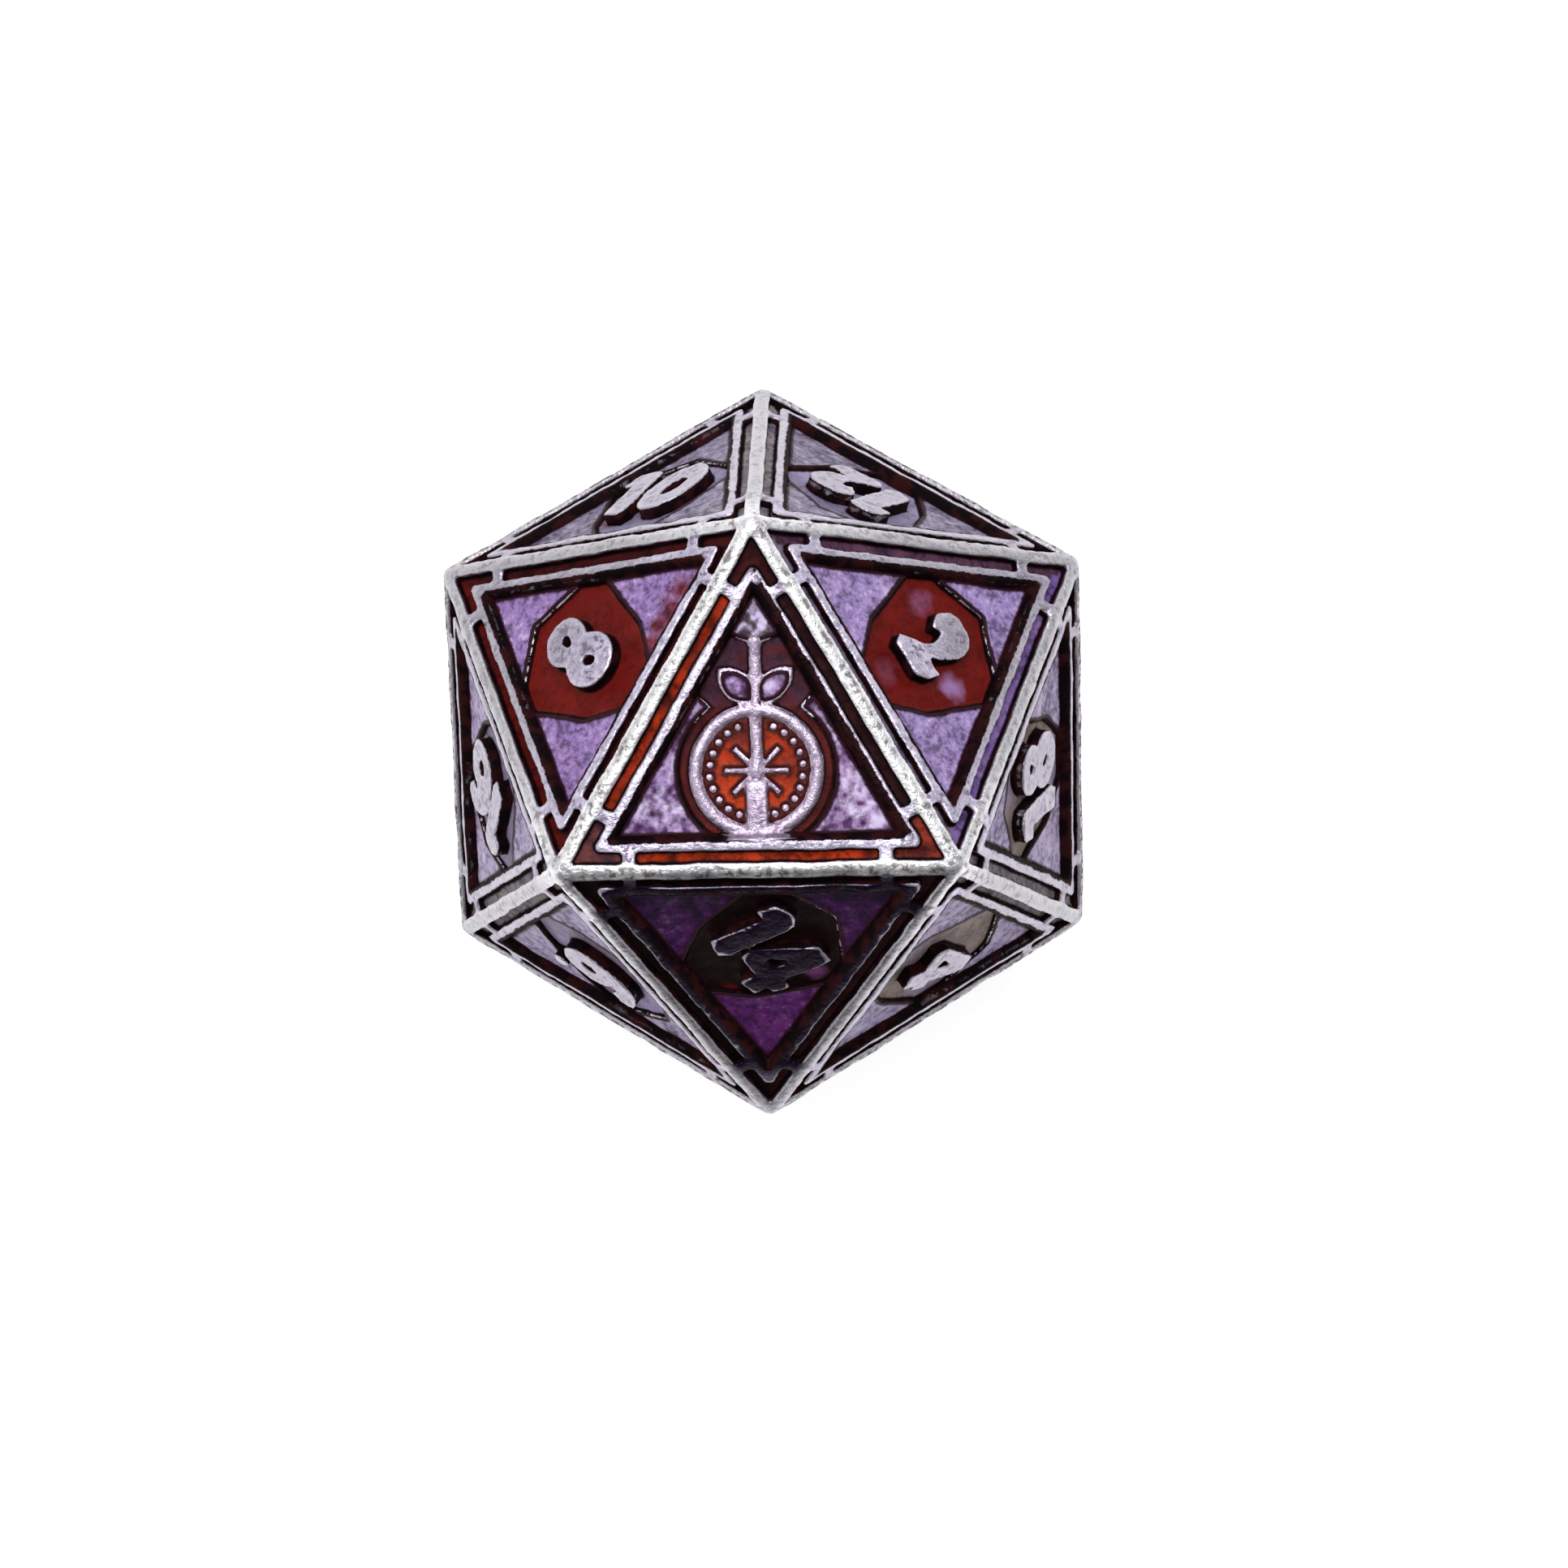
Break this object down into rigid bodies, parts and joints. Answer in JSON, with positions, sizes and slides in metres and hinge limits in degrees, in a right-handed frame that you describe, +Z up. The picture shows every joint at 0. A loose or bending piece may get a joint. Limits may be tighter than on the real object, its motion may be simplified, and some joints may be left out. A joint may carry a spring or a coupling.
{
  "type": "twenty-sided die",
  "caption": "Cast metal icosahedral die with framed faces, raised numerals and lavender and red-brown enamel inlaid between the relief; one face has a round ornamental medallion.",
  "frame": {"origin": "on the plane that the die rests on, under the middle of its lowest face (face 1)", "axes": "+Z up through the medallion face (20), +Y towards the top of the medallion, +X to its right"},
  "size_m": [0.0214, 0.0246, 0.02],
  "materials": {
    "antique_silver": "zinc alloy casting plated in antique silver: dark patina in the recesses, rubbed bright on the edges",
    "lavender_enamel": "pearly lavender soft enamel with fine mottling, satin gloss",
    "red_brown_enamel": "translucent red-brown soft enamel over dark metal, satin gloss",
    "border_enamel": "dark red-brown soft enamel in the border channels, bright orange-red in places",
    "orange_red_enamel": "bright orange-red soft enamel, satin gloss"
  },
  "bodies": {
    "root": {"border_enamel_01_20": "border_enamel", "border_enamel_02_19": "border_enamel", "border_enamel_03_18": "border_enamel", "border_enamel_04_17": "border_enamel", "border_enamel_05_16": "border_enamel", "border_enamel_06_15": "border_enamel", "border_enamel_07_14": "border_enamel", "border_enamel_08_13": "border_enamel", "border_enamel_09_12": "border_enamel", "border_enamel_10_11": "border_enamel", "die_casting": "antique_silver", "medallion_field_enamel": "orange_red_enamel", "medallion_ground_enamel": "red_brown_enamel", "panel_enamel_01": "lavender_enamel", "panel_enamel_02": "lavender_enamel", "panel_enamel_03": "lavender_enamel", "panel_enamel_04": "lavender_enamel", "panel_enamel_05": "lavender_enamel", "panel_enamel_06": "lavender_enamel", "panel_enamel_07": "lavender_enamel", "panel_enamel_08": "lavender_enamel", "panel_enamel_09": "lavender_enamel", "panel_enamel_10": "lavender_enamel", "panel_enamel_11": "lavender_enamel", "panel_enamel_12": "lavender_enamel", "panel_enamel_13": "lavender_enamel", "panel_enamel_14": "lavender_enamel", "panel_enamel_15": "lavender_enamel", "panel_enamel_16": "lavender_enamel", "panel_enamel_17": "lavender_enamel", "panel_enamel_18": "lavender_enamel", "panel_enamel_19": "lavender_enamel", "panel_enamel_20": "lavender_enamel", "recess_enamel_01": "red_brown_enamel", "recess_enamel_02": "red_brown_enamel", "recess_enamel_03": "red_brown_enamel", "recess_enamel_04": "red_brown_enamel", "recess_enamel_05": "red_brown_enamel", "recess_enamel_06": "red_brown_enamel", "recess_enamel_07": "red_brown_enamel", "recess_enamel_08": "red_brown_enamel", "recess_enamel_09": "red_brown_enamel", "recess_enamel_10": "red_brown_enamel", "recess_enamel_11": "red_brown_enamel", "recess_enamel_12": "red_brown_enamel", "recess_enamel_13": "red_brown_enamel", "recess_enamel_14": "red_brown_enamel", "recess_enamel_15": "red_brown_enamel", "recess_enamel_16": "red_brown_enamel", "recess_enamel_17": "red_brown_enamel", "recess_enamel_18": "red_brown_enamel", "recess_enamel_19": "red_brown_enamel"}
  },
  "joints": []
}
